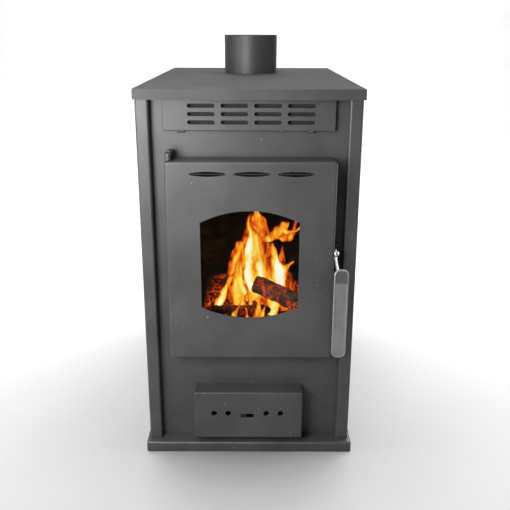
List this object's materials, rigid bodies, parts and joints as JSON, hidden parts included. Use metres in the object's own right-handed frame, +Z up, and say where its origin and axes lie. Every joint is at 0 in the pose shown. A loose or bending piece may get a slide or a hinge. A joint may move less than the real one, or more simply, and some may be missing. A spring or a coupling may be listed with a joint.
{
  "type": "wood burning stove",
  "caption": "Free-standing sheet-steel wood stove with a warm-air casing, glazed hinged fire door, lever handle, sliding ash drawer with air slider, and a flue collar on the lid.",
  "frame": {"origin": "on the floor, under the middle of the lid: the centre of the base tray's underside", "axes": "+Z up, the door faces -Y, +X to the right of a person who faces the door"},
  "size_m": [0.4054, 0.6622, 0.794],
  "materials": {
    "grey_stove_enamel": "satin heat-resistant grey enamel on sheet steel",
    "black_furnace_steel": "matt black, sooted sheet steel",
    "cast_iron": "rough cast",
    "firebrick": "rough fired clay",
    "zinc_plated_steel": "zinc plated",
    "handle_steel": "satin grey, worn to the metal at the edges",
    "ceramic_glass": "clear glass ceramic with a faint amber tint",
    "glass_fibre_seal": "braided glass fibre",
    "charred_log": "charred split firewood with glowing cracks; used by the visual model only"
  },
  "bodies": {
    "stove_body": {"base_tray": "grey_stove_enamel", "left_side_panel": "grey_stove_enamel", "right_side_panel": "grey_stove_enamel", "back_panel": "grey_stove_enamel", "back_screw_left_lower": "zinc_plated_steel", "back_screw_left_upper": "zinc_plated_steel", "back_screw_right_lower": "zinc_plated_steel", "back_screw_right_upper": "zinc_plated_steel", "lid": "grey_stove_enamel", "flue_collar": "grey_stove_enamel", "front_plate": "grey_stove_enamel", "warm_air_grille": "grey_stove_enamel", "firebox_left_wall": "black_furnace_steel", "firebox_right_wall": "black_furnace_steel", "firebox_back_wall": "black_furnace_steel", "firebox_roof": "black_furnace_steel", "fire_floor": "black_furnace_steel", "ash_pit_floor": "black_furnace_steel", "fire_grate": "cast_iron", "left_firebrick_1": "firebrick", "left_firebrick_2": "firebrick", "left_firebrick_3": "firebrick", "right_firebrick_1": "firebrick", "right_firebrick_2": "firebrick", "right_firebrick_3": "firebrick", "back_firebrick_1": "firebrick", "back_firebrick_2": "firebrick", "smoke_baffle": "black_furnace_steel", "left_baffle_ledge": "black_furnace_steel", "right_baffle_ledge": "black_furnace_steel", "left_drawer_runner": "black_furnace_steel", "right_drawer_runner": "black_furnace_steel", "upper_hinge_lug": "grey_stove_enamel", "lower_hinge_lug": "grey_stove_enamel", "upper_hinge_pin": "zinc_plated_steel", "lower_hinge_pin": "zinc_plated_steel", "lower_hinge_washer": "zinc_plated_steel", "latch_keeper": "grey_stove_enamel"},
    "door": {"door_shell": "grey_stove_enamel", "glass_tape": "glass_fibre_seal", "door_glass": "ceramic_glass", "left_glass_rail": "black_furnace_steel", "right_glass_rail": "black_furnace_steel", "left_glass_screw_lower": "zinc_plated_steel", "left_glass_screw_upper": "zinc_plated_steel", "right_glass_screw_lower": "zinc_plated_steel", "right_glass_screw_upper": "zinc_plated_steel", "door_liner": "black_furnace_steel", "seal_channel": "black_furnace_steel", "door_seal_rope": "glass_fibre_seal", "handle_pivot_bolt": "zinc_plated_steel", "handle_pivot_nut": "zinc_plated_steel"},
    "handle": {"handle_lever": "handle_steel"},
    "ash_drawer": {"ash_drawer_front": "grey_stove_enamel", "ash_pan": "black_furnace_steel", "upper_slider_rail": "black_furnace_steel", "lower_slider_rail": "black_furnace_steel"},
    "air_slider": {"air_slider": "black_furnace_steel"}
  },
  "joints": [
    {"name": "door_hinge", "type": "hinge", "parent": "stove_body", "child": "door", "pos_m": [-0.1395, -0.303, 0.4], "axis": [0, 0, -1], "range_deg": [0, 115]},
    {"name": "handle_pivot", "type": "hinge", "parent": "door", "child": "handle", "pos_m": [0.1548, -0.314, 0.4198], "axis": [-1, 0, 0], "range_deg": [0, 65]},
    {"name": "ash_drawer_slide", "type": "slide", "parent": "stove_body", "child": "ash_drawer", "axis": [0, -1, 0], "range_m": [0, 0.3]},
    {"name": "air_slider_slide", "type": "slide", "parent": "ash_drawer", "child": "air_slider", "axis": [1, 0, 0], "range_m": [0, 0.014]}
  ]
}
